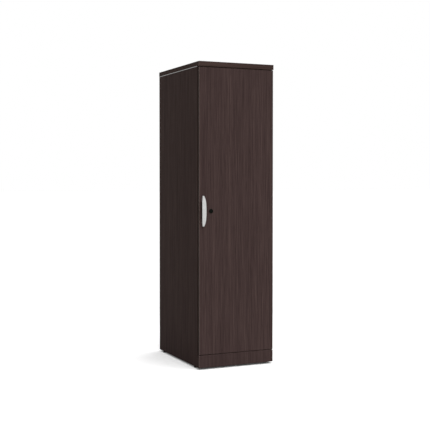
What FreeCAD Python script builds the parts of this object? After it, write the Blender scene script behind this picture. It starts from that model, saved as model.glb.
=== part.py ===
"""Tall single-door wardrobe cabinet: laminate case, overlay door on cup hinges, bowed pull, cam lock.

Millimetres. X runs to the right seen from the front, the door faces -Y and Z is up from the floor.
The origin is on the floor, at the middle of the overall box with the pull included.
"""
import FreeCAD
import Part
import math
import os

Vec = FreeCAD.Vector
RIGHT = Vec(1, 0, 0)
REAR = Vec(0, 1, 0)
UP = Vec(0, 0, 1)

# Overall sizes
case_width = 452.0
case_depth = 603.0
overall_height = 1676.0
top_front_overhang = 3.0
top_side_overhang = 1.0

# Boards
side_thickness = 19.0
top_thickness = 27.5
sub_top_thickness = 19.0
bottom_thickness = 19.0
shelf_thickness = 19.0
door_thickness = 19.0
kick_thickness = 22.0
rail_thickness = 19.0
back_thickness = 6.0
band_thickness = 2.0
band_round = 1.2
kick_round = 1.0

# Gaps, reveals and fits
reveal_height = 2.6
reveal_setback = 0.5
door_case_gap = 3.5
door_top_gap = 2.5
door_kick_gap = 3.0
door_side_inset = 0.5
back_setback = 12.0
groove_depth = 8.0
groove_play = 0.5
shelf_play = 0.75
fit_gap = 0.1
run_gap = 0.05
slot_gap = 0.3

# Base
ground_gap = 10.0
kick_top = 77.0
kick_lap = 6.0
bracket_leg = 30.0
bracket_height = 30.0
bracket_thickness = 2.0

# Levelling glides and their inserts
leveler_front_inset = 73.5
leveler_rear_inset = 58.0
leveler_base_diameter = 18.0
leveler_base_height = 4.5
leveler_base_round = 1.0
leveler_neck_diameter = 12.0
leveler_stop_gap = 0.1
leveler_stud_diameter = 8.0
leveler_stud_length = 36.0
insert_diameter = 12.0
insert_length = 40.0

# Hat shelf and its pins
hat_space_height = 259.5
shelf_front_setback = 24.0
pin_diameter = 5.0
pin_depth = 9.0
pin_reach = 9.0
pin_lip_width = 10.0
pin_lip_thickness = 2.0
pin_inset = 60.0

# Clothes rod and its sockets
rod_drop = 51.0
rod_diameter = 25.4
rod_wall = 1.2
socket_flange_diameter = 54.0
socket_flange_thickness = 3.0
socket_wall = 2.5
socket_depth = 15.0
socket_screw_circle = 43.0
socket_screw_count = 3

# Screws
screw_shank = 3.5
screw_length = 14.0
screw_head = 7.0
screw_head_height = 1.8
recess_width = 0.9
recess_share = 0.6
top_screw_bite = 16.0
top_screw_inset = 70.0
back_screw_length = 22.0
back_screw_count = 3

# Cam fittings, their bolts and the dowels
cam_diameter = 15.0
cam_depth = 12.5
cam_setback = 34.0
cam_recess_depth = 2.0
cam_inset = 50.0
cam_bolt_diameter = 6.0
cam_bolt_bite = 11.0
dowel_diameter = 8.0
dowel_length = 30.0
dowel_bite = 11.0
dowel_offset = 32.0
kick_dowel_inset = 16.0

# Pull handle
handle_height = 864.0
handle_from_edge = 23.6
handle_length = 168.0
handle_width = 24.0
handle_tip_width = 9.2
handle_projection = 22.0
handle_tip_depth = 5.6
handle_strap = 5.5
handle_end_run = 38.0
handle_inner_run = 22.0
handle_middle_bow = 2.2
handle_middle_taper = 1.0
handle_foot = 28.0
handle_round = 1.6
handle_crown = 2.6
handle_hole_inset = 20.0
handle_screw_bite = 8.0
handle_screw_shank = 4.0
handle_screw_head = 8.0
handle_screw_head_height = 2.0

# Cam lock and its strike
lock_from_edge = 70.7
lock_rosette_lip = 2.7
lock_rosette_thickness = 2.5
lock_rosette_round = 1.0
lock_barrel_diameter = 18.6
lock_tail_gap = 2.3
lock_nut_wall = 2.7
lock_nut_thickness = 4.0
plug_diameter = 12.0
plug_recess = 0.5
keyway_width = 1.8
keyway_height = 7.5
keyway_depth = 7.0
plug_tang = 7.0
lock_cam_thickness = 3.0
lock_cam_width = 14.0
lock_cam_round = 3.5
lock_cam_tip_gap = 7.2
lock_bolt_shank = 4.0
lock_bolt_length = 10.0
lock_bolt_head = 9.5
lock_bolt_head_height = 2.5
strike_height = 34.0
strike_overlap = 8.8
strike_setback = 2.0
strike_leg = 30.0
strike_screw_line = 18.0
strike_thickness = 2.0
strike_cam_gap = 0.8
strike_screw_spacing = 18.0

# Door bumpers
bumper_diameter = 9.0
bumper_inset = 40.0
bumper_gap = 0.2

# Hinges
hinge_end_inset = 100.0
hinge_pin_diameter = 3.5
hinge_pin_end_gap = 0.5
hinge_eye_diameter = 6.0
eye_side_gap = 0.26
eye_floor_gap = 0.6
neck_thickness = 2.5
neck_height = 9.8
neck_bend = 3.0
cup_diameter = 35.0
cup_edge = 3.5
cup_depth = 14.0
cup_wall = 0.8
flange_thickness = 1.2
flange_width = 20.0
flange_offset = 5.0
flange_height = 62.0
flange_round = 5.0
cup_screw_spacing = 48.0
cup_screw_offset = 6.0
arm_height = 15.0
arm_wall = 1.5
arm_start = 3.0
arm_length = 60.0
arm_depth = 9.25
plate_thickness = 2.5
plate_screw_line = 37.0
plate_screw_spacing = 32.0
plate_length = 46.0
plate_body_height = 18.0
plate_wing_length = 16.0
plate_wing_height = 48.0
plate_round = 3.0
arm_screw_spacing = 18.0

# Planes that follow from the sizes
half_width = case_width / 2
inner_half = half_width - side_thickness
total_depth = case_depth + handle_projection
face_y = handle_projection - total_depth / 2
back_y = total_depth / 2
door_rear_y = face_y + door_thickness
case_y = door_rear_y + door_case_gap
back_panel_rear_y = back_y - back_setback
back_panel_y = back_panel_rear_y - back_thickness
top_z = overall_height - top_thickness
sub_top_z = top_z - sub_top_thickness
bottom_z = kick_top - kick_lap
inside_floor_z = bottom_z + bottom_thickness
shelf_height = sub_top_z - hat_space_height
shelf_z = shelf_height - shelf_thickness
rod_height = shelf_z - rod_drop
door_left = door_side_inset - half_width
door_right = -door_left
door_bottom = kick_top + door_kick_gap
door_top = top_z - door_top_gap

SIDES = (-1, 1)
bores = {}


# Names and shared shapes
def side_name(side):
    """Word for a side."""
    return "left" if side < 0 else "right"


def side_node(side):
    """Name of the side panel on a side."""
    return side_name(side) + "_side_panel"


def block(x_span, y_span, z_span):
    """Box between two values on each axis."""
    low = Vec(min(x_span), min(y_span), min(z_span))
    high = Vec(max(x_span), max(y_span), max(z_span))
    size = high - low
    return Part.makeBox(size.x, size.y, size.z, low)


def bar(start, direction, diameter, length):
    """Round bar from a start point."""
    return Part.makeCylinder(diameter / 2, length, start, direction)


def around(middle, length):
    """Span of a length about its middle."""
    return (middle - length / 2, middle + length / 2)


def outward(side, start, length):
    """X span on one side of the case, from an inner plane outwards."""
    return (side * start, side * (start + length))


def rounded(shape, radius, chosen):
    """Shape with a fillet on the edges that a test picks."""
    return shape.makeFillet(radius, [edge for edge in shape.Edges if chosen(edge)])


def runs_along(edge, axis):
    """Whether a straight edge is parallel to an axis."""
    if edge.Curve.TypeId != "Part::GeomLine":
        return False
    return abs(abs(edge.Curve.Direction.dot(axis)) - 1) < 1e-6


def cross_recess(width, depth):
    """Cross-shaped driver recess, centred on the Z axis and cut upwards from z = 0."""
    first = block(around(0, width), around(0, recess_width), (0, depth))
    second = block(around(0, recess_width), around(0, width), (0, depth))
    return first.fuse(second)


def placed(shape, point, direction):
    """Shape built along +Z, moved so that its axis runs from a point in a direction."""
    shape.Placement = FreeCAD.Placement(point, FreeCAD.Rotation(UP, direction))
    return shape


def screw(seat, direction, length=screw_length, shank=screw_shank, head=screw_head, height=screw_head_height):
    """Pan-head screw whose head bears on a seat point and whose shank runs in a direction."""
    cap = bar(Vec(0, 0, -height), UP, head, height)
    cap = rounded(cap, height / 2, lambda edge: edge.Closed and edge.CenterOfMass.z < -height / 2)
    recess = cross_recess(head * recess_share, height / 2)
    recess.translate(Vec(0, 0, -height))
    solid = cap.cut(recess).fuse(bar(Vec(0, 0, 0), UP, shank, length))
    return placed(solid.removeSplitter(), seat, direction)


def drill(node, start, direction, diameter, length):
    """Note a round hole, with its fit, in one of the boards."""
    bores.setdefault(node, []).append(bar(start, direction, diameter + 2 * fit_gap, length))


def bored(node, board):
    """Board with the holes that its fittings asked for."""
    return board.cut(bores[node])


def save(node, *solids):
    """One file for each node."""
    shape = solids[0] if len(solids) == 1 else Part.makeCompound(solids)
    shape.exportStep("parts/" + node + ".step")


# Case joints: cam fittings, cam bolts and dowels at the ends of the cross boards
def cam_joint(node, side, end_point, face, half_thickness):
    """Cam in a cross board and the bolt that it draws in from the side panel."""
    out = RIGHT * side
    middle = end_point - out * cam_setback
    mouth = middle + face * half_thickness
    cam = bar(Vec(0, 0, 0), UP, cam_diameter, cam_depth).cut(cross_recess(cam_diameter * recess_share, cam_recess_depth))
    cam = placed(cam, mouth, -face)
    drill(node, mouth, -face, cam_diameter, cam_depth)
    bolt_start = middle + out * (cam_diameter / 2 + fit_gap)
    bolt_length = cam_setback - cam_diameter / 2 - fit_gap + cam_bolt_bite
    drill(node, bolt_start, out, cam_bolt_diameter, cam_setback)
    drill(side_node(side), end_point, out, cam_bolt_diameter, cam_bolt_bite)
    return cam, bar(bolt_start, out, cam_bolt_diameter, bolt_length)


def dowel_joint(inner_node, outer_node, point, direction):
    """Dowel across the joint between two boards, from a point on their common plane."""
    inner_length = dowel_length - dowel_bite
    drill(inner_node, point, -direction, dowel_diameter, inner_length)
    drill(outer_node, point, direction, dowel_diameter, dowel_bite)
    return bar(point - direction * inner_length, direction, dowel_diameter, dowel_length)


def case_joints():
    cams = []
    bolts = []
    dowels = []
    level_boards = [("sub_top_panel", sub_top_z, sub_top_thickness, UP),
                    ("bottom_panel", bottom_z, bottom_thickness, -UP)]
    for side in SIDES:
        for node, low, thickness, face in level_boards:
            for end_y, inward in ((case_y, 1), (back_panel_y, -1)):
                middle = Vec(side * inner_half, end_y + inward * cam_inset, low + thickness / 2)
                cam, bolt = cam_joint(node, side, middle, face, thickness / 2)
                cams.append(cam)
                bolts.append(bolt)
                beside = middle + REAR * (inward * dowel_offset)
                dowels.append(dowel_joint(node, side_node(side), beside, RIGHT * side))
        rail_y = back_panel_rear_y - rail_thickness / 2
        rail_middle = Vec(side * inner_half, rail_y, (ground_gap + bottom_z) / 2)
        cam, bolt = cam_joint("rear_base_rail", side, rail_middle, -REAR, rail_thickness / 2)
        cams.append(cam)
        bolts.append(bolt)
        for level in (ground_gap + kick_dowel_inset, kick_top - kick_dowel_inset):
            point = Vec(side * (half_width - side_thickness / 2), case_y, level)
            dowels.append(dowel_joint(side_node(side), "kick_plate", point, -REAR))
            drill(side_name(side) + "_side_edge_band", point, REAR, dowel_diameter, band_thickness)
    save("cam_fittings", *cams)
    save("cam_bolts", *bolts)
    save("dowels", *dowels)


# Screws that hold the top and the back
def board_screws():
    top_screws = []
    for x in (-inner_half + top_screw_inset, inner_half - top_screw_inset):
        for y in (case_y + top_screw_inset, back_panel_y - top_screw_inset):
            seat = Vec(x, y, sub_top_z)
            top_screws.append(screw(seat, UP, sub_top_thickness + top_screw_bite))
            drill("sub_top_panel", seat, UP, screw_shank, sub_top_thickness)
            drill("top_panel", seat + UP * sub_top_thickness, UP, screw_shank, top_screw_bite)
    back_screws = []
    gap = 2 * inner_half / back_screw_count
    for index in range(back_screw_count):
        x = -inner_half + gap * (index + 0.5)
        for node, level in (("sub_top_panel", sub_top_z + sub_top_thickness / 2),
                            ("bottom_panel", bottom_z + bottom_thickness / 2)):
            seat = Vec(x, back_panel_rear_y, level)
            back_screws.append(screw(seat, -REAR, back_screw_length))
            drill("back_panel", seat, -REAR, screw_shank, back_thickness)
            drill(node, seat - REAR * back_thickness, -REAR, screw_shank, back_screw_length - back_thickness)
    save("top_screws", *top_screws)
    save("back_panel_screws", *back_screws)


# Angle brackets behind the kick plate
def kick_brackets():
    brackets = []
    screws = []
    middle_z = (ground_gap + bottom_z) / 2
    z_span = around(middle_z, bracket_height)
    for side in SIDES:
        inner_x = side * inner_half
        kick_leg = block((inner_x, inner_x - side * bracket_leg), (case_y, case_y + bracket_thickness), z_span)
        side_leg = block((inner_x, inner_x - side * bracket_thickness), (case_y, case_y + bracket_leg), z_span)
        bracket = kick_leg.fuse(side_leg).removeSplitter()
        reach = (bracket_leg + bracket_thickness) / 2
        kick_seat = Vec(inner_x - side * reach, case_y + bracket_thickness, middle_z)
        side_seat = Vec(inner_x - side * bracket_thickness, case_y + reach, middle_z)
        for seat, direction, node in ((kick_seat, -REAR, "kick_plate"), (side_seat, RIGHT * side, side_node(side))):
            screws.append(screw(seat, direction))
            bracket = bracket.cut(bar(seat, direction, screw_shank + 2 * fit_gap, bracket_thickness))
            drill(node, seat + direction * bracket_thickness, direction, screw_shank,
                  screw_length - bracket_thickness)
        brackets.append(bracket)
    save("kick_brackets", *brackets)
    save("kick_bracket_screws", *screws)


# Levelling glides that screw into the bottom edges of the sides
def levelers():
    inserts = []
    for side in SIDES:
        for place, y in (("front", face_y + leveler_front_inset), ("rear", back_y - leveler_rear_inset)):
            x = side * (half_width - side_thickness / 2)
            mouth = Vec(x, y, ground_gap)
            hole = bar(mouth, UP, leveler_stud_diameter + 2 * run_gap, insert_length)
            inserts.append(bar(mouth, UP, insert_diameter, insert_length).cut(hole))
            drill(side_node(side), mouth, UP, insert_diameter, insert_length)
            base = bar(Vec(x, y, 0), UP, leveler_base_diameter, leveler_base_height)
            base = rounded(base, leveler_base_round, lambda edge: edge.Closed)
            neck_top = ground_gap - leveler_stop_gap
            neck = bar(Vec(x, y, leveler_base_height), UP, leveler_neck_diameter, neck_top - leveler_base_height)
            stud = bar(Vec(x, y, neck_top), UP, leveler_stud_diameter, leveler_stud_length)
            save("leveler_" + place + "_" + side_name(side), base.fuse([neck, stud]).removeSplitter())
    save("leveler_inserts", *inserts)


# Hat shelf on four pins
def hat_shelf():
    half = inner_half - shelf_play
    front = case_y + shelf_front_setback
    z_span = (shelf_z, shelf_height)
    save("hat_shelf", block((-half, half), (front + band_thickness, back_panel_y), z_span))
    band = block((-half, half), (front, front + band_thickness), z_span)
    save("shelf_edge_band", rounded(band, band_round, lambda edge: edge.CenterOfMass.y < front + 1e-6
                                    and runs_along(edge, RIGHT)))
    pins = []
    for side in SIDES:
        for y in (front + pin_inset, back_panel_y - pin_inset):
            start = Vec(side * inner_half, y, shelf_z - pin_lip_thickness - pin_diameter / 2)
            stem = bar(start - RIGHT * (side * pin_reach), RIGHT * side, pin_diameter, pin_reach + pin_depth)
            lip = block((start.x, start.x - side * pin_reach), around(y, pin_lip_width),
                        (shelf_z - pin_lip_thickness - pin_diameter / 2, shelf_z))
            pins.append(stem.fuse(lip).removeSplitter())
            drill(side_node(side), start, RIGHT * side, pin_diameter, pin_depth)
    save("shelf_pins", *pins)


# Clothes rod between two screwed sockets
def clothes_rod():
    rod_y = (case_y + back_panel_y) / 2
    seat_half = inner_half - socket_flange_thickness
    screws = []
    for side in SIDES:
        out = RIGHT * side
        wall = Vec(side * inner_half, rod_y, rod_height)
        bore_diameter = rod_diameter + 2 * fit_gap
        flange = bar(wall, -out, socket_flange_diameter, socket_flange_thickness)
        flange = rounded(flange, socket_flange_thickness / 3, lambda edge: edge.Closed
                         and abs(edge.CenterOfMass.x) < inner_half - socket_flange_thickness / 2)
        cup = bar(wall, -out, bore_diameter + 2 * socket_wall, socket_depth)
        cup = cup.cut(bar(wall - out * socket_flange_thickness, -out, bore_diameter, socket_depth))
        socket = flange.fuse(cup).removeSplitter()
        for index in range(socket_screw_count):
            angle = math.radians(90 + index * 360 / socket_screw_count)
            offset = Vec(0, math.cos(angle), math.sin(angle)) * (socket_screw_circle / 2)
            seat = wall - out * socket_flange_thickness + offset
            screws.append(screw(seat, out))
            socket = socket.cut(bar(seat, out, screw_shank + 2 * fit_gap, socket_flange_thickness))
            drill(side_node(side), wall + offset, out, screw_shank, screw_length - socket_flange_thickness)
        save("rod_socket_" + side_name(side), socket)
    start = Vec(-seat_half, rod_y, rod_height)
    tube = bar(start, RIGHT, rod_diameter, 2 * seat_half)
    save("clothes_rod", tube.cut(bar(start, RIGHT, rod_diameter - 2 * rod_wall, 2 * seat_half)))
    save("rod_socket_screws", *screws)


# Hinges on the right, one pin each in a cup let into the door
cup_x = door_right - cup_edge - cup_diameter / 2
cup_radius = cup_diameter / 2 - fit_gap
cup_room_radius = cup_radius - cup_wall
cup_room_depth = cup_depth - fit_gap - cup_wall
slot_height = neck_height + 2 * slot_gap
slot_reach = math.sqrt(cup_room_radius ** 2 - (slot_height / 2) ** 2)
hinge_x = cup_x + slot_reach - hinge_eye_diameter / 2 - eye_side_gap
hinge_y = door_rear_y - cup_room_depth + hinge_eye_diameter / 2 + eye_floor_gap
pin_offset = hinge_x + hinge_pin_diameter / 2 - cup_x
hinge_pin_length = 2 * (math.sqrt(cup_radius ** 2 - pin_offset ** 2) - hinge_pin_end_gap)
plate_x = inner_half - plate_thickness
web_x = plate_x - arm_depth
neck_x = web_x + neck_thickness / 2
hinge_levels = {"top": door_top - hinge_end_inset,
                "middle": (door_top + door_bottom) / 2,
                "bottom": door_bottom + hinge_end_inset}


def hinge_cup(z):
    """Die-cast cup with a slot for the arm, and a flange on the rear of the door."""
    mouth = Vec(cup_x, door_rear_y, z)
    cup = bar(mouth, -REAR, 2 * cup_radius, cup_depth - fit_gap)
    flange = block(around(cup_x - flange_offset, flange_width), (door_rear_y, door_rear_y + flange_thickness),
                   around(z, flange_height))
    flange = rounded(flange, flange_round, lambda edge: runs_along(edge, REAR))
    room = bar(mouth + REAR * flange_thickness, -REAR, 2 * cup_room_radius, flange_thickness + cup_room_depth)
    slot = block(around(cup_x, cup_diameter), (door_rear_y - cup_depth, door_rear_y + flange_thickness),
                 around(z, slot_height))
    pin_hole = bar(Vec(hinge_x, hinge_y, z - hinge_pin_length / 2), UP, hinge_pin_diameter, hinge_pin_length)
    return cup.fuse(flange).removeSplitter().cut(room.common(slot)).cut(pin_hole)


def hinge_arm(z):
    """Arm on the plate whose neck reaches round into the cup and ends in an eye on the pin."""
    z_span = around(z, neck_height)
    half = neck_thickness / 2
    arm_y = case_y + arm_start
    eye = bar(Vec(hinge_x, hinge_y, z_span[0]), UP, hinge_eye_diameter, neck_height)
    neck = block((web_x, hinge_x), around(hinge_y, neck_thickness), z_span)
    stem = block(around(neck_x, neck_thickness), (hinge_y - half, arm_y + arm_wall), z_span)
    hook = neck.fuse(stem).removeSplitter()
    hook = rounded(hook, neck_bend, lambda edge: runs_along(edge, UP)
                   and abs(edge.CenterOfMass.x - web_x) < 1e-6
                   and abs(edge.CenterOfMass.y - hinge_y + half) < 1e-6)
    body = block((web_x, plate_x), (arm_y, arm_y + arm_length), around(z, arm_height))
    body = rounded(body, arm_wall, lambda edge: edge.CenterOfMass.x < neck_x and runs_along(edge, REAR))
    inside = block((web_x + arm_wall, plate_x), (arm_y + arm_wall, arm_y + arm_length),
                   around(z, arm_height - 2 * arm_wall))
    arm = hook.fuse([eye, body.cut(inside)]).removeSplitter()
    return arm.cut(bar(Vec(hinge_x, hinge_y, z_span[0]), UP, hinge_pin_diameter + 2 * run_gap, neck_height))


def hinge_plate(z):
    """Cross-shaped mounting plate on the inside of the right side panel."""
    middle_y = case_y + plate_screw_line
    x_span = (plate_x, inner_half)
    body = block(x_span, around(middle_y, plate_length), around(z, plate_body_height))
    wings = block(x_span, around(middle_y, plate_wing_length), around(z, plate_wing_height))
    wings = rounded(wings, plate_round, lambda edge: runs_along(edge, RIGHT))
    return body.fuse(wings).removeSplitter()


def hinges():
    middle_y = case_y + plate_screw_line
    pins = []
    cup_screws = []
    plate_screws = []
    arm_screws = []
    for level, z in hinge_levels.items():
        cup = hinge_cup(z)
        arm = hinge_arm(z)
        plate = hinge_plate(z)
        drill("door_panel", Vec(cup_x, door_rear_y, z), -REAR, cup_diameter - 2 * fit_gap, cup_depth)
        pin_start = Vec(hinge_x, hinge_y, z - hinge_pin_length / 2)
        pins.append(bar(pin_start, UP, hinge_pin_diameter, hinge_pin_length))
        for offset in (-cup_screw_spacing / 2, cup_screw_spacing / 2):
            seat = Vec(cup_x - cup_screw_offset, door_rear_y + flange_thickness, z + offset)
            cup_screws.append(screw(seat, -REAR))
            cup = cup.cut(bar(seat, -REAR, screw_shank + 2 * fit_gap, flange_thickness))
            drill("door_panel", seat - REAR * flange_thickness, -REAR, screw_shank, screw_length - flange_thickness)
        for offset in (-plate_screw_spacing / 2, plate_screw_spacing / 2):
            seat = Vec(plate_x, middle_y, z + offset)
            plate_screws.append(screw(seat, RIGHT))
            plate = plate.cut(bar(seat, RIGHT, screw_shank + 2 * fit_gap, plate_thickness))
            drill("right_side_panel", seat + RIGHT * plate_thickness, RIGHT, screw_shank,
                  screw_length - plate_thickness)
        for offset in (-arm_screw_spacing / 2, arm_screw_spacing / 2):
            seat = Vec(web_x, middle_y + offset, z)
            length = inner_half - web_x - fit_gap
            arm_screws.append(screw(seat, RIGHT, length))
            hole = bar(seat, RIGHT, screw_shank + 2 * fit_gap, length + fit_gap)
            arm = arm.cut(hole)
            plate = plate.cut(hole)
        save("hinge_cup_" + level, cup)
        save("hinge_arm_" + level, arm)
        save("hinge_plate_" + level, plate)
    save("hinge_pins", *pins)
    save("hinge_cup_screws", *cup_screws)
    save("hinge_plate_screws", *plate_screws)
    save("hinge_arm_screws", *arm_screws)


# Bowed pull: a lens outline seen from the front, an arch seen from the side
def flat_arch(at, half, end_run, rise, drop, end_rise):
    """Edges of an arch in order along it: a shallow middle arc, and a tangent arc down to each end.

    at(rise, along) gives a point of the arch's plane, and the arch is even about along = 0.
    """
    shoulder = half - end_run
    shoulder_rise = rise - drop
    lean = 2 * math.atan(drop / shoulder)
    fall = end_rise - shoulder_rise
    slope = math.atan2(fall, end_run)
    bulge = math.hypot(end_run, fall) / 2 * math.tan((-slope - lean) / 2)
    middle = shoulder + end_run / 2 - bulge * math.sin(slope)
    middle_rise = shoulder_rise + fall / 2 + bulge * math.cos(slope)
    return [
        Part.Arc(at(end_rise, -half), at(middle_rise, -middle), at(shoulder_rise, -shoulder)),
        Part.Arc(at(shoulder_rise, -shoulder), at(rise, 0), at(shoulder_rise, shoulder)),
        Part.Arc(at(shoulder_rise, shoulder), at(middle_rise, middle), at(end_rise, half)),
    ]


def handle():
    x = door_left + handle_from_edge
    half = handle_length / 2
    foot = half - handle_foot

    def arch(depth, height):
        return Vec(x - handle_width / 2, face_y - depth, handle_height + height)

    outer = flat_arch(arch, half, handle_end_run, handle_projection, handle_middle_bow, handle_tip_depth)
    inner = flat_arch(arch, foot, handle_inner_run, handle_projection - handle_strap, handle_middle_bow, 0)
    arch_edges = [
        *outer,
        Part.LineSegment(arch(handle_tip_depth, half), arch(0, half)),
        Part.LineSegment(arch(0, half), arch(0, foot)),
        *reversed(inner),
        Part.LineSegment(arch(0, -foot), arch(0, -half)),
        Part.LineSegment(arch(0, -half), arch(handle_tip_depth, -half)),
    ]
    bow = Part.Face(Part.Wire([edge.toShape() for edge in arch_edges])).extrude(RIGHT * handle_width)

    def lens(offset, height):
        return Vec(x + offset, face_y, handle_height + height)

    def mirrored(offset, height):
        return lens(-offset, height)

    tip = handle_tip_width / 2
    lens_sizes = (half, handle_end_run, handle_width / 2, handle_middle_taper, tip)
    lens_edges = [
        *flat_arch(mirrored, *lens_sizes),
        Part.LineSegment(lens(-tip, half), lens(tip, half)),
        *reversed(flat_arch(lens, *lens_sizes)),
        Part.LineSegment(lens(tip, -half), lens(-tip, -half)),
    ]
    outline = Part.Face(Part.Wire([edge.toShape() for edge in lens_edges])).extrude(-REAR * handle_projection)
    pull = bow.common(outline)
    front_y = face_y - handle_tip_depth + 1e-3
    pull = rounded(pull, handle_crown, lambda edge: edge.BoundBox.YMax < front_y and not runs_along(edge, RIGHT))
    pull = rounded(pull, handle_round, lambda edge: edge.BoundBox.YMin < face_y - 1e-3)
    screws = []
    for offset in (handle_hole_inset - half, half - handle_hole_inset):
        seat = Vec(x, door_rear_y, handle_height + offset)
        length = door_thickness + handle_screw_bite
        screws.append(screw(seat, -REAR, length, handle_screw_shank, handle_screw_head, handle_screw_head_height))
        drill("door_panel", seat, -REAR, handle_screw_shank, door_thickness)
        pull = pull.cut(bar(Vec(x, face_y, seat.z), -REAR, handle_screw_shank + 2 * fit_gap,
                            handle_screw_bite + fit_gap))
    save("handle", pull)
    save("handle_screws", *screws)


# Cam lock beside the pull, and its strike on the left side panel
lock_x = door_left + lock_from_edge
lock_z = handle_height
cam_y = case_y + strike_setback + strike_thickness + strike_cam_gap
cam_reach = lock_x + inner_half - lock_cam_tip_gap


def lock():
    face = Vec(lock_x, face_y, lock_z)
    rosette = bar(face, -REAR, lock_barrel_diameter + 2 * lock_rosette_lip, lock_rosette_thickness)
    rosette = rounded(rosette, lock_rosette_round, lambda edge: edge.Closed
                      and edge.CenterOfMass.y < face_y - lock_rosette_thickness / 2)
    barrel = bar(face, REAR, lock_barrel_diameter, cam_y - lock_tail_gap - face_y)
    drill("door_panel", face, REAR, lock_barrel_diameter, door_thickness)
    plug_front = face - REAR * (lock_rosette_thickness - plug_recess)
    plug_length = cam_y - plug_front.y
    room = bar(face - REAR * lock_rosette_thickness, REAR, plug_diameter + 2 * run_gap,
               plug_length + lock_rosette_thickness)
    save("lock_housing", rosette.fuse(barrel).removeSplitter().cut(room))

    plug = bar(plug_front, REAR, plug_diameter, plug_length)
    tang = block(around(lock_x, plug_tang), (cam_y, cam_y + lock_cam_thickness), around(lock_z, plug_tang))
    keyway = block(around(lock_x, keyway_width), (plug_front.y, plug_front.y + keyway_depth),
                   around(lock_z, keyway_height))
    tail = Vec(lock_x, cam_y + lock_cam_thickness, lock_z)
    bolt_hole = bar(tail, -REAR, lock_bolt_shank + 2 * fit_gap, lock_bolt_length + fit_gap)
    save("lock_plug", plug.fuse(tang).removeSplitter().cut(keyway).cut(bolt_hole))
    save("lock_cam_bolt", screw(tail, -REAR, lock_bolt_length, lock_bolt_shank, lock_bolt_head,
                                lock_bolt_head_height))

    cam_span = (cam_y, cam_y + lock_cam_thickness)
    blade = block(around(lock_x, lock_cam_width), cam_span, (lock_z, lock_z + cam_reach))
    blade = rounded(blade, lock_cam_round, lambda edge: runs_along(edge, REAR) and edge.CenterOfMass.z > lock_z)
    hub = bar(Vec(lock_x, cam_y, lock_z), REAR, lock_cam_width, lock_cam_thickness)
    square = block(around(lock_x, plug_tang + 2 * fit_gap), cam_span, around(lock_z, plug_tang + 2 * fit_gap))
    save("lock_cam", blade.fuse(hub).removeSplitter().cut(square))

    nut_seat = Vec(lock_x, door_rear_y, lock_z)
    corner_radius = (lock_barrel_diameter + 2 * lock_nut_wall) / math.sqrt(3)
    corners = [nut_seat + Vec(math.cos(turn), 0, math.sin(turn)) * corner_radius
               for turn in (math.radians(60 * corner) for corner in range(7))]
    nut = Part.Face(Part.makePolygon(corners)).extrude(REAR * lock_nut_thickness)
    save("lock_nut", nut.cut(bar(nut_seat, REAR, lock_barrel_diameter + 2 * fit_gap, lock_nut_thickness)))


def lock_strike():
    wall_x = -inner_half
    lip_y = cam_y - strike_cam_gap - strike_thickness
    z_span = around(lock_z, strike_height)
    leg = block((wall_x, wall_x + strike_thickness), (lip_y, lip_y + strike_leg), z_span)
    lip = block((wall_x, wall_x + lock_cam_tip_gap + strike_overlap), (lip_y, lip_y + strike_thickness), z_span)
    strike = leg.fuse(lip).removeSplitter()
    screws = []
    for offset in (-strike_screw_spacing / 2, strike_screw_spacing / 2):
        seat = Vec(wall_x + strike_thickness, lip_y + strike_screw_line, lock_z + offset)
        screws.append(screw(seat, -RIGHT))
        strike = strike.cut(bar(seat, -RIGHT, screw_shank + 2 * fit_gap, strike_thickness))
        drill("left_side_panel", seat - RIGHT * strike_thickness, -RIGHT, screw_shank,
              screw_length - strike_thickness)
    save("lock_strike", strike)
    save("lock_strike_screws", *screws)


def door_bumpers():
    x = side_thickness / 2 - half_width
    thickness = door_case_gap - bumper_gap
    save("door_bumpers", *[bar(Vec(x, door_rear_y, z), REAR, bumper_diameter, thickness)
                           for z in (door_bottom + bumper_inset, door_top - bumper_inset)])


# Boards, cut last so that they take every fitting's hole
def side_panels():
    z_span = (ground_gap, top_z)
    for side in SIDES:
        board = block(outward(side, inner_half, side_thickness), (case_y + band_thickness, back_y), z_span)
        groove = block(outward(side, inner_half, groove_depth), (back_panel_y, back_panel_rear_y),
                       (bottom_z, top_z))
        save(side_node(side), bored(side_node(side), board.cut(groove)))
        band = block(outward(side, inner_half, side_thickness), (case_y, case_y + band_thickness), z_span)
        band = rounded(band, band_round, lambda edge: runs_along(edge, UP)
                       and edge.CenterOfMass.y < case_y + 1e-6)
        save(side_name(side) + "_side_edge_band", bored(side_name(side) + "_side_edge_band", band))


def reveal_space(side, setback):
    """Room for a reveal strip in the top's lower edge on a side, less a setback from that edge."""
    width = side_thickness + top_side_overhang - setback
    return block(outward(side, inner_half, width), (case_y + band_thickness, back_y),
                 (top_z, top_z + reveal_height))


def top_panel():
    z_span = (top_z, overall_height)
    half = half_width + top_side_overhang
    front = face_y - top_front_overhang
    core = block((band_thickness - half, half - band_thickness), (front + band_thickness, back_y), z_span)
    whole = block((-half, half), (front, back_y), z_span)
    whole = rounded(whole, band_round, lambda edge: edge.CenterOfMass.y < back_y - 1e-6)
    notches = [reveal_space(side, 0) for side in SIDES]
    save("top_panel", bored("top_panel", core.cut(notches)))
    save("top_edge_band", whole.cut([core, *notches]))
    for side in SIDES:
        save("reveal_strip_" + side_name(side), reveal_space(side, reveal_setback))


def inner_boards():
    x_span = (-inner_half, inner_half)
    y_span = (case_y, back_panel_y)
    save("sub_top_panel", bored("sub_top_panel", block(x_span, y_span, (sub_top_z, top_z))))
    bottom = block(x_span, y_span, (bottom_z, inside_floor_z))
    save("bottom_panel", bored("bottom_panel", bottom))
    back_half = inner_half + groove_depth - groove_play
    back = block((-back_half, back_half), (back_panel_y, back_panel_rear_y), (bottom_z, top_z))
    save("back_panel", bored("back_panel", back))


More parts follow.
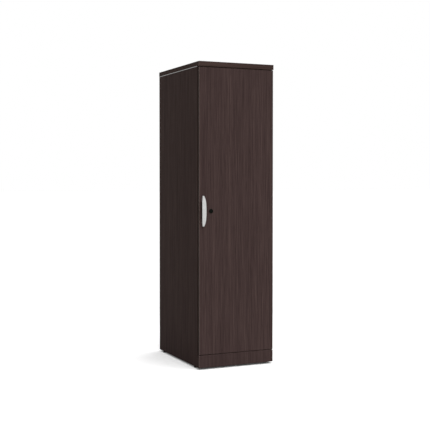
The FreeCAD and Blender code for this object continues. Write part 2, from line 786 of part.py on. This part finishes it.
def base_boards():
    kick = block((-half_width, half_width), (case_y - kick_thickness, case_y), (ground_gap, kick_top))
    kick = rounded(kick, kick_round, lambda edge: edge.CenterOfMass.y < case_y - 1e-6)
    save("kick_plate", bored("kick_plate", kick))
    rail = block((-inner_half, inner_half), (back_panel_rear_y - rail_thickness, back_panel_rear_y),
                 (ground_gap, bottom_z))
    save("rear_base_rail", bored("rear_base_rail", rail))


def door():
    whole = block((door_left, door_right), (face_y, door_rear_y), (door_bottom, door_top))
    whole = rounded(whole, band_round, lambda edge: True)
    core = block((door_left + band_thickness, door_right - band_thickness), (face_y, door_rear_y),
                 (door_bottom + band_thickness, door_top - band_thickness))
    save("door_edge_band", whole.cut(core))
    save("door_panel", bored("door_panel", core))


os.makedirs("parts", exist_ok=True)
case_joints()
board_screws()
kick_brackets()
levelers()
hat_shelf()
clothes_rod()
hinges()
handle()
lock()
lock_strike()
door_bumpers()
side_panels()
top_panel()
inner_boards()
base_boards()
door()
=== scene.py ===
"""Wardrobe cabinet in dark woodgrain laminate: materials, studio light and the photograph's camera.

Metres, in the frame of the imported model: X to the right, the door faces -Y, Z up from the floor.
"""
import bpy
import math
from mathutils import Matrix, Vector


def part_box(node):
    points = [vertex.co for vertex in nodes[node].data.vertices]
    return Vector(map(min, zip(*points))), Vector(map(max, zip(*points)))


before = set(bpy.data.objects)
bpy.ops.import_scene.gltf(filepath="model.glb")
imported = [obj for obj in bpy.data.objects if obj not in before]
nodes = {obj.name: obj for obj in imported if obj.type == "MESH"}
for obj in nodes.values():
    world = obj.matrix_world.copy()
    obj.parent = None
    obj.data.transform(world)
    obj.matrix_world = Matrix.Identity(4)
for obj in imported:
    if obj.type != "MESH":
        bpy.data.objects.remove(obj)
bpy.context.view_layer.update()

# Photograph frame, in pixels
PHOTO_SIZE = 430
FOCAL_PX = 905.8
HORIZON_Y = 177.89
NEAR_EDGE_X = 199.05

# Camera, in metres and degrees
CAMERA_TURN = -24.171
CAMERA_TILT = 1.4
EYE_HEIGHT = 1.0447
NEAR_EDGE_DEPTH = 4.9007
CLIP_END = 200.0
SENSOR_MM = 36.0

# Light, with angles in degrees
WORLD_LIGHT = 0.30
LAMPS = {
    "front_softbox": {"strength": 2.9, "spread": 70.0, "fall": 45.0, "turn": 17.0},
    "overhead_softbox": {"strength": 1.31, "spread": 18.0, "fall": 13.0, "turn": 115.0},
}
WHITE = (1.0, 1.0, 1.0, 1.0)

# Floor: its size and fades in metres, its colours, and its glow near the cabinet, far off and underneath,
# where the lower glow paints the shadow under the cabinet
FLOOR_SIZE = 120.0
FLOOR_SEEN = (0.71, 0.71, 0.71, 1.0)
FLOOR_BOUNCE = (0.26, 0.25, 0.17, 1.0)
FLOOR_LIFT = 0.455
FAR_LIFT = 0.10
UNDER_LIFT = 0.03
LIFT_FADE = (0.75, 1.9)
SIDE_FADE = 0.027
KICK_FADE = 0.012

# Laminate and edge bands: screen colours, ramp places, gloss, and how far grain is drawn out
LAMINATE_TONES = ((0.34, (56, 44, 44)), (0.50, (69, 55, 55)), (0.66, (80, 65, 64)))
BAND_TONES = ((0.35, (55, 43, 41)), (0.65, (69, 55, 53)))
PORE_COLOUR = (44, 33, 32)
# Painted highlight on the rounded front-left arris
ARRIS_HIGHLIGHT_COLOUR = (152, 139, 136)
# Painted light on faces that point up
LEDGE_LIGHT_COLOUR = (100, 82, 79)
BOARD_GLOSS = 0.012
GRAIN_STRETCH = 0.02
BAND_STRETCH = 0.03

# Back board: share of its thickness that is foil, from the inside
FOIL_SHARE = 0.75

# Metal: shade of the colour in handling marks, and how far brushing is drawn out
MARK_SHADE = 0.88
BRUSH_STRETCH = 0.03

# Places in the names of repeated nodes
HINGE_PIECES = ("cup", "arm", "plate")
HINGE_LEVELS = ("top", "middle", "bottom")
FEET = ("front_left", "front_right", "rear_left", "rear_right")


def srgb(red, green, blue):
    """Linear colour from the usual 0 to 255 screen values."""
    def linear(value):
        share = value / 255
        return share / 12.92 if share <= 0.04045 else ((share + 0.055) / 1.055) ** 2.4
    return (linear(red), linear(green), linear(blue), 1.0)


class Graph:
    """Short way to write the nodes of a material or of the world."""

    def __init__(self, owner, shader):
        owner.use_nodes = True
        self.owner = owner
        self.tree = owner.node_tree
        self.shader = self.tree.nodes[shader]

    def add(self, kind, inputs=None, **settings):
        """New node, with its settings, and its inputs linked or set."""
        node = self.tree.nodes.new(kind)
        for key, value in settings.items():
            setattr(node, key, value)
        for key, value in (inputs or {}).items():
            self.plug(node.inputs[key], value)
        return node

    def plug(self, socket, value):
        """Link a socket to another node's output, or set its number or colour."""
        if isinstance(value, bpy.types.NodeSocket):
            self.tree.links.new(value, socket)
        else:
            socket.default_value = value

    def set(self, **values):
        """Inputs of the shader, named with _ for a space."""
        for key, value in values.items():
            self.plug(self.shader.inputs[key.replace("_", " ")], value)

    def compute(self, operation, first, second):
        """Sum, product or other result of two values."""
        return self.add("ShaderNodeMath", {0: first, 1: second}, operation=operation).outputs["Value"]

    def between(self, value, low, high, to_low=0.0, to_high=1.0):
        """Value carried over from one range to another, and held at its ends."""
        return self.add("ShaderNodeMapRange", {"Value": value, "From Min": low, "From Max": high,
                                               "To Min": to_low, "To Max": to_high}).outputs["Result"]

    def split(self, vector):
        """X, Y and Z of a vector."""
        return self.add("ShaderNodeSeparateXYZ", {"Vector": vector}).outputs


class Surface(Graph):
    """Nodes of a new material, with the object's own coordinates and normals."""

    def __init__(self, name):
        super().__init__(bpy.data.materials.new(name), "Principled BSDF")
        place = self.add("ShaderNodeTexCoord").outputs
        self.coords = place["Object"]
        self.normals = place["Normal"]

    def drawn_out(self, along, stretch):
        """Coordinates for a pattern that is drawn out along the axes in a string such as XY."""
        scale = [stretch if axis in along else 1.0 for axis in "XYZ"]
        return self.add("ShaderNodeMapping", {"Vector": self.coords, "Scale": scale}).outputs["Vector"]

    def noise(self, vector, scale, detail=2.0, roughness=0.5):
        """Noise from 0 to 1."""
        return self.add("ShaderNodeTexNoise", {"Vector": vector, "Scale": scale, "Detail": detail,
                                               "Roughness": roughness}).outputs["Fac"]

    def blend(self, first, first_share, second, second_share):
        """Weighted sum of two values."""
        return self.compute("ADD", self.compute("MULTIPLY", first, first_share),
                            self.compute("MULTIPLY", second, second_share))

    def ramp(self, value, *stops):
        """Colours at their places along a value."""
        node = self.add("ShaderNodeValToRGB", {"Fac": value})
        elements = node.color_ramp.elements
        while len(elements) < len(stops):
            elements.new(0.5)
        for element, (place, colour) in zip(elements, stops):
            element.position = place
            element.color = colour
        return node.outputs["Color"]

    def screen_ramp(self, value, *stops, shade=1.0):
        """Ramp through screen colours, all made darker or lighter by a shade."""
        shaded = [(place, [shade * level for level in colour]) for place, colour in stops]
        return self.ramp(value, *[(place, srgb(*colour)) for place, colour in shaded])

    def mix(self, share, first, second):
        """First colour, with a share of the second."""
        node = self.add("ShaderNodeMix", data_type="RGBA")
        self.plug(node.inputs["Factor"], share)
        self.plug(node.inputs["A"], first)
        self.plug(node.inputs["B"], second)
        return node.outputs["Result"]

    def bump(self, height, strength, distance):
        """Fine relief of the surface."""
        node = self.add("ShaderNodeBump", {"Height": height, "Strength": strength, "Distance": distance})
        self.set(Normal=node.outputs["Normal"])


# Materials
def painted_arris_highlight(graph, colour):
    """Painted highlight: lighter line along the rounded upright edges that turn from the front to the left.
    """
    facing = graph.split(graph.normals)
    left = graph.between(facing["X"], -0.04, -0.15)
    front = graph.between(facing["Y"], -0.65, -0.85)
    return graph.mix(graph.compute("MULTIPLY", left, front), colour, srgb(*ARRIS_HIGHLIGHT_COLOUR))


def painted_ledge_light(graph, colour):
    """Painted light: paler colour on faces that point up, which lightens the gap above the kick."""
    upward = graph.between(graph.split(graph.normals)["Z"], 0.75, 0.95)
    return graph.mix(upward, colour, srgb(*LEDGE_LIGHT_COLOUR))


def laminate(name, along, shade=1.0, painted_edge_light=False):
    """Espresso laminate with straight fine grain; the edge-light option adds a painted arris highlight and
    painted light on faces that point up.
    """
    graph = Surface(name)
    grain = graph.drawn_out(along, GRAIN_STRETCH)
    broad = graph.noise(grain, 30, detail=1)
    streak = graph.noise(grain, 180, detail=2, roughness=0.6)
    fine = graph.noise(grain, 420, detail=2, roughness=0.55)
    pores = graph.between(graph.noise(grain, 820, detail=1), 0.60, 0.70)
    tone = graph.blend(broad, 0.14, streak, 0.50)
    tone = graph.compute("ADD", tone, graph.compute("MULTIPLY", fine, 0.36))
    colour = graph.screen_ramp(tone, *LAMINATE_TONES, shade=shade)
    colour = graph.mix(graph.compute("MULTIPLY", pores, 0.35), colour, srgb(*PORE_COLOUR))
    # Painted arris highlight, and painted light on faces that point up
    if painted_edge_light:
        colour = painted_ledge_light(graph, painted_arris_highlight(graph, colour))
    graph.set(Base_Color=colour, Roughness=graph.between(tone, 0.35, 0.65, 0.60, 0.52))
    graph.set(Specular_IOR_Level=BOARD_GLOSS)
    graph.bump(graph.compute("SUBTRACT", fine, pores), 0.12, 0.0003)
    return graph.owner


def edge_band(name, along, shade=1.0, painted_edge_light=False):
    """Plastic edge band in the laminate's colour, with faint streaks; the edge-light option adds a painted
    arris highlight.
    """
    graph = Surface(name)
    streak = graph.noise(graph.drawn_out(along, BAND_STRETCH), 160, detail=3)
    colour = graph.screen_ramp(streak, *BAND_TONES, shade=shade)
    # Painted arris highlight
    if painted_edge_light:
        colour = painted_arris_highlight(graph, colour)
    graph.set(Base_Color=colour, Roughness=graph.between(streak, 0.3, 0.7, 0.46, 0.56))
    graph.set(Specular_IOR_Level=BOARD_GLOSS)
    graph.bump(graph.noise(graph.coords, 1400, detail=1), 0.05, 0.0002)
    return graph.owner


def metal(name, colour, roughness, along="", stretch=BRUSH_STRETCH, scale=900.0, relief=0.04):
    """Metal in a screen colour, with fine grain or brushing along an axis, and faint handling marks."""
    graph = Surface(name)
    brushing = graph.noise(graph.drawn_out(along, stretch), scale, detail=3, roughness=0.6)
    marks = graph.noise(graph.coords, 45, detail=4, roughness=0.6)
    clean = srgb(*colour)
    marked = tuple(MARK_SHADE * channel for channel in clean[:3]) + (1.0,)
    graph.set(Base_Color=graph.ramp(marks, (0.3, marked), (0.7, clean)))
    finish = graph.blend(brushing, 0.6, marks, 0.4)
    graph.set(Metallic=1.0, Roughness=graph.between(finish, 0.3, 0.7, *roughness))
    graph.bump(brushing, relief, 0.0002)
    return graph.owner


def black_metal():
    """Black lacquered metal of the lock."""
    graph = Surface("lock_black")
    speckle = graph.noise(graph.coords, 1500, detail=2)
    graph.set(Base_Color=graph.screen_ramp(speckle, (0.3, (10, 12, 10)), (0.7, (19, 22, 19))))
    graph.set(Roughness=graph.between(speckle, 0.3, 0.7, 0.32, 0.44))
    graph.set(Specular_IOR_Level=0.03)
    graph.bump(speckle, 0.05, 0.0001)
    return graph.owner


def glide(neck_top):
    """Black nylon glide on a zinc-plated steel stud, split at the neck's top."""
    graph = Surface("glide_nylon_and_stud")
    steel = graph.compute("GREATER_THAN", graph.split(graph.coords)["Z"], neck_top)
    speckle = graph.noise(graph.coords, 1200, detail=2)
    nylon = graph.screen_ramp(speckle, (0.3, (9, 9, 9)), (0.7, (20, 20, 19)))
    graph.set(Base_Color=graph.mix(steel, nylon, srgb(186, 186, 182)), Metallic=steel)
    graph.set(Roughness=graph.between(speckle, 0.3, 0.7, 0.38, 0.52), Specular_IOR_Level=0.2)
    graph.bump(speckle, 0.08, 0.0002)
    return graph.owner


def back_board(foil_end):
    """Hardboard back: espresso foil up to a depth, plain brown fibre board outside."""
    graph = Surface("back_board")
    outside = graph.compute("GREATER_THAN", graph.split(graph.coords)["Y"], foil_end)
    streak = graph.noise(graph.drawn_out("Z", GRAIN_STRETCH), 95, detail=3)
    foil = graph.screen_ramp(streak, (0.36, (52, 39, 37)), (0.64, (72, 57, 54)))
    fibre = graph.noise(graph.coords, 260, detail=5, roughness=0.7)
    cloud = graph.noise(graph.coords, 9, detail=3)
    board = graph.screen_ramp(fibre, (0.3, (82, 60, 44)), (0.5, (104, 78, 58)), (0.7, (120, 92, 70)))
    board = graph.mix(graph.between(cloud, 0.35, 0.65, 0.0, 0.35), board, srgb(84, 62, 46))
    graph.set(Base_Color=graph.mix(outside, foil, board), Roughness=graph.between(fibre, 0.3, 0.7, 0.6, 0.75))
    graph.set(Specular_IOR_Level=0.2)
    graph.bump(fibre, 0.15, 0.0002)
    return graph.owner


def beech():
    """Bare beech of the dowels."""
    graph = Surface("beech")
    grain = graph.noise(graph.drawn_out("X", 0.05), 700, detail=3)
    graph.set(Base_Color=graph.screen_ramp(grain, (0.3, (176, 136, 96)), (0.7, (208, 170, 128))))
    graph.set(Roughness=graph.between(grain, 0.3, 0.7, 0.55, 0.7))
    return graph.owner


def clear_bumper():
    """Soft clear bumper."""
    graph = Surface("bumper_clear")
    haze = graph.noise(graph.coords, 600, detail=2)
    graph.set(Base_Color=graph.screen_ramp(haze, (0.3, (214, 214, 208)), (0.7, (232, 232, 228))))
    graph.set(Roughness=graph.between(haze, 0.3, 0.7, 0.2, 0.32))
    graph.set(Transmission_Weight=0.7, IOR=1.41)
    return graph.owner


def dress(material, *names):
    """Give a material to CAD nodes."""
    for name in names:
        for slot in nodes[name].material_slots:
            slot.material = material


# Boards and their edge bands
dress(laminate("espresso_upright", "Z"), "door_panel", "left_side_panel", "right_side_panel")
# Kick drawn 3 % darker as painted shade near the floor, with a painted arris highlight and painted light on
# its upward face
dress(laminate("espresso_kick", "Z", shade=0.97, painted_edge_light=True), "kick_plate")
dress(laminate("espresso_level", "X"),
      "top_panel", "sub_top_panel", "bottom_panel", "hat_shelf", "rear_base_rail")
# Door band drawn 15 % darker as painted shade in the gap beside the door, with a painted arris highlight
dress(edge_band("espresso_door_band", "Z", shade=0.85, painted_edge_light=True), "door_edge_band")
dress(edge_band("espresso_side_band", "Z"), "left_side_edge_band", "right_side_edge_band")
# Top band with a painted arris highlight on its front-left corner
dress(edge_band("espresso_level_band", "XY", shade=1.06, painted_edge_light=True), "top_edge_band", "shelf_edge_band")
back_low, back_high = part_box("back_panel")
dress(back_board(back_low[1] + FOIL_SHARE * (back_high[1] - back_low[1])), "back_panel")

# Fittings
dress(metal("silver_reveal", (166, 166, 165), (0.3, 0.42), along="Y", stretch=0.02),
      "reveal_strip_left", "reveal_strip_right")
dress(metal("satin_nickel", (213, 213, 212), (0.30, 0.42), along="Z", scale=1600.0), "handle")
dress(black_metal(), "lock_housing", "lock_plug")
dress(metal("rod_chrome", (232, 233, 234), (0.06, 0.14), along="X", relief=0.01),
      "clothes_rod", "rod_socket_left", "rod_socket_right")
dress(metal("zinc_plated", (196, 197, 192), (0.3, 0.46)),
      "rod_socket_screws", "cam_fittings", "cam_bolts", "top_screws", "back_panel_screws", "kick_brackets",
      "kick_bracket_screws", "leveler_inserts", "lock_strike", "lock_strike_screws", "hinge_plate_screws",
      "hinge_arm_screws", "hinge_cup_screws", "hinge_pins", "handle_screws", "lock_nut", "lock_cam",
      "lock_cam_bolt", "shelf_pins")
dress(metal("hinge_nickel", (206, 204, 198), (0.2, 0.32)),
      *["hinge_" + piece + "_" + level for piece in HINGE_PIECES for level in HINGE_LEVELS])
side_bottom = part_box("left_side_panel")[0][2]
dress(glide(side_bottom), *["leveler_" + foot for foot in FEET])
dress(beech(), "dowels")
dress(clear_bumper(), "door_bumpers")


# Stage, light and camera
def seen_rays(graph):
    """One for the rays that show a surface: camera, glossy and transmission."""
    path = graph.add("ShaderNodeLightPath").outputs
    seen = graph.compute("MAXIMUM", path["Is Camera Ray"], path["Is Glossy Ray"])
    return graph.compute("MAXIMUM", seen, path["Is Transmission Ray"])


def under_cabinet_shadow(graph):
    """Mask for the painted shadow under the cabinet: one on the floor between the sides and under the kick,
    fading to zero around them.
    """
    place = graph.split(graph.coords)
    kick_low, kick_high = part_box("kick_plate")
    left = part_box("left_side_panel")[1][0]
    right_low, right_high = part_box("right_side_panel")

    def within(axis, low, high, fade):
        after = graph.between(place[axis], low - fade, low)
        before = graph.between(place[axis], high, high + fade, 1.0, 0.0)
        return graph.compute("MULTIPLY", after, before)

    middle = graph.compute("MULTIPLY", within("X", left, right_low[0], SIDE_FADE),
                           within("Y", kick_low[1], right_high[1], KICK_FADE))
    kick = graph.compute("MULTIPLY", within("X", kick_low[0], kick_high[0], KICK_FADE),
                         within("Y", kick_low[1], kick_high[1], KICK_FADE))
    return graph.compute("MAXIMUM", middle, kick)


def white_floor():
    """White floor that keeps the shadow and glows a little to the camera, less so far off; the glow drops
    underneath as a painted shadow.
    """
    bpy.ops.mesh.primitive_plane_add(size=FLOOR_SIZE, location=(0, 0, 0))
    floor = bpy.context.object
    floor.name = "floor"
    graph = Surface("white_floor")
    graph.set(Base_Color=graph.mix(seen_rays(graph), FLOOR_BOUNCE, FLOOR_SEEN))
    graph.set(Roughness=1.0, Specular_IOR_Level=0.0)
    distance = graph.add("ShaderNodeVectorMath", {0: graph.coords}, operation="LENGTH").outputs["Value"]
    open_lift = graph.between(distance, *LIFT_FADE, FLOOR_LIFT, FAR_LIFT)
    # Painted shadow: the glow falls to UNDER_LIFT under the cabinet
    lift = graph.between(under_cabinet_shadow(graph), 0.0, 1.0, open_lift, UNDER_LIFT)
    camera_ray = graph.add("ShaderNodeLightPath").outputs["Is Camera Ray"]
    graph.set(Emission_Color=WHITE, Emission_Strength=graph.compute("MULTIPLY", camera_ray, lift))
    floor.data.materials.append(graph.owner)


def studio_world():
    """Even white surroundings: full white where they are seen, softer as light."""
    graph = Graph(bpy.data.worlds.new("studio"), "Background")
    seen = graph.compute("MULTIPLY", seen_rays(graph), 1.0 - WORLD_LIGHT)
    graph.set(Color=WHITE, Strength=graph.compute("ADD", seen, WORLD_LIGHT))
    bpy.context.scene.world = graph.owner


def softbox(name, strength, spread, fall, turn):
    """Soft lamp that falls at an angle from overhead, turned from the front towards the right."""
    lamp = bpy.data.lights.new(name, "SUN")
    lamp.energy = strength
    lamp.angle = math.radians(spread)
    holder = bpy.data.objects.new(name, lamp)
    holder.rotation_euler = (math.radians(fall), 0.0, math.radians(turn))
    holder.visible_glossy = False
    bpy.context.scene.collection.objects.link(holder)


def photo_camera():
    """Camera of the photograph, tilted slightly down and placed from the door's near front edge."""
    turn = math.radians(CAMERA_TURN)
    tilt = math.radians(CAMERA_TILT)
    forward = (-math.sin(turn), math.cos(turn))
    right = (math.cos(turn), math.sin(turn))
    door_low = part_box("door_edge_band")[0]
    side_shift = (NEAR_EDGE_X - PHOTO_SIZE / 2) / FOCAL_PX * NEAR_EDGE_DEPTH
    place = [edge - forward[axis] * NEAR_EDGE_DEPTH - right[axis] * side_shift
             for axis, edge in enumerate(door_low[:2])]
    lens = bpy.data.cameras.new("photo_camera")
    lens.sensor_fit = "HORIZONTAL"
    lens.sensor_width = SENSOR_MM
    lens.lens = SENSOR_MM * FOCAL_PX / PHOTO_SIZE
    lens.shift_y = (HORIZON_Y - PHOTO_SIZE / 2 + FOCAL_PX * math.tan(tilt)) / PHOTO_SIZE
    lens.clip_end = CLIP_END
    camera = bpy.data.objects.new("photo_camera", lens)
    camera.location = (place[0], place[1], EYE_HEIGHT)
    camera.rotation_euler = (math.radians(90) - tilt, 0.0, turn)
    bpy.context.scene.collection.objects.link(camera)
    bpy.context.scene.camera = camera


white_floor()
studio_world()
for lamp_name, settings in LAMPS.items():
    softbox(lamp_name, **settings)
photo_camera()
bpy.context.scene.view_settings.view_transform = "Standard"
